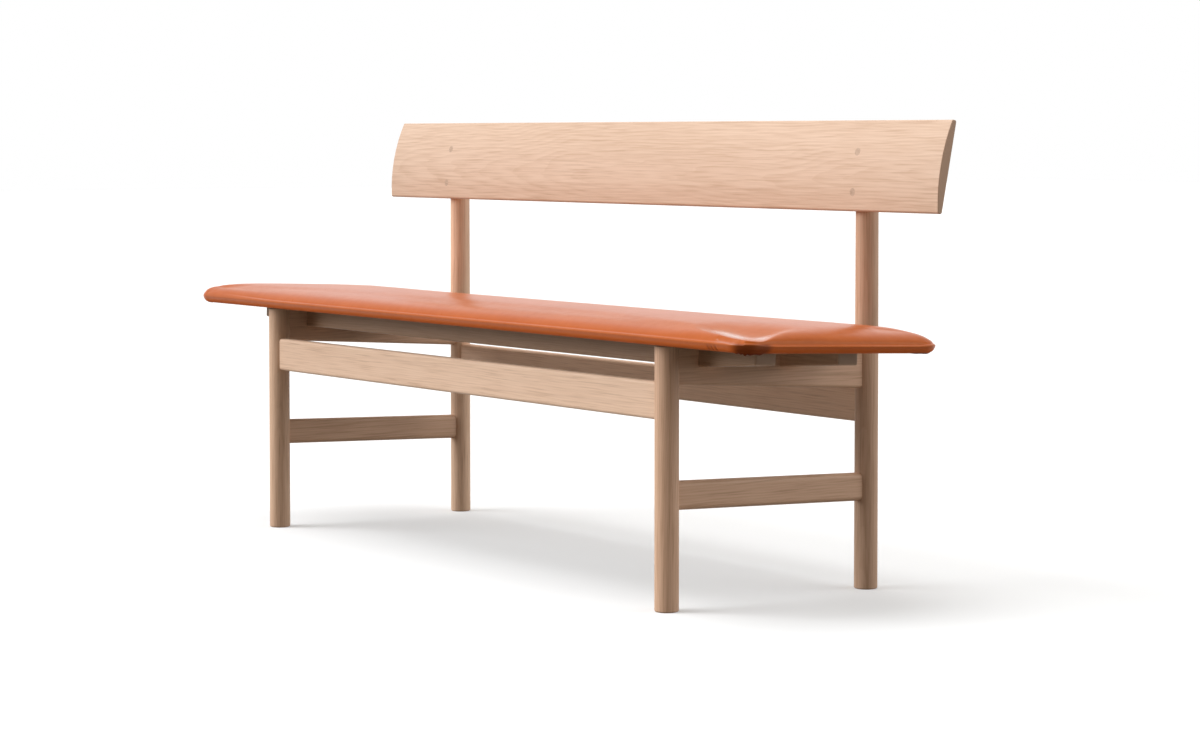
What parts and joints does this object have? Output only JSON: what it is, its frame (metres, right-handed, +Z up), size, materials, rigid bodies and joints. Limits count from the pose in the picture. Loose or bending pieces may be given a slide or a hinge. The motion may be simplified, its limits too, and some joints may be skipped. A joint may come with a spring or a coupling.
{
  "type": "bench with back",
  "caption": "Long oak bench on round legs with a sloping upholstered leather seat pad and a curved, leaning back board.",
  "frame": {"origin": "on the floor, under the middle of the bench's overall length and depth", "axes": "+X along the bench to the right as seen from the front, +Y from the front to the back board, +Z up"},
  "size_m": [1.6, 0.4424, 0.7168],
  "materials": {
    "oak": "soaped white oak, matt, fine grain along each piece",
    "oak_plug": "soaped oak, cut a little darker than the board",
    "leather": "smooth cognac leather with a soft sheen",
    "foam": "open-cell upholstery foam",
    "plywood": "raw birch plywood",
    "lining": "black woven underlining cloth",
    "screw_steel": "zinc-plated steel"
  },
  "bodies": {
    "root": {"front_leg_left": "oak", "front_leg_right": "oak", "rear_post_left": "oak", "rear_post_right": "oak", "front_rail": "oak", "rear_rail": "oak", "side_rail_left": "oak", "side_rail_right": "oak", "side_stretcher_left": "oak", "side_stretcher_right": "oak", "seat_batten_front": "oak", "seat_batten_rear": "oak", "back_board": "oak", "back_board_plugs": "oak_plug", "back_board_screws": "screw_steel", "batten_screws": "screw_steel", "seat_screws": "screw_steel", "seat_board": "plywood", "seat_foam": "foam", "seat_cover": "leather", "seat_lining": "lining"}
  },
  "joints": []
}
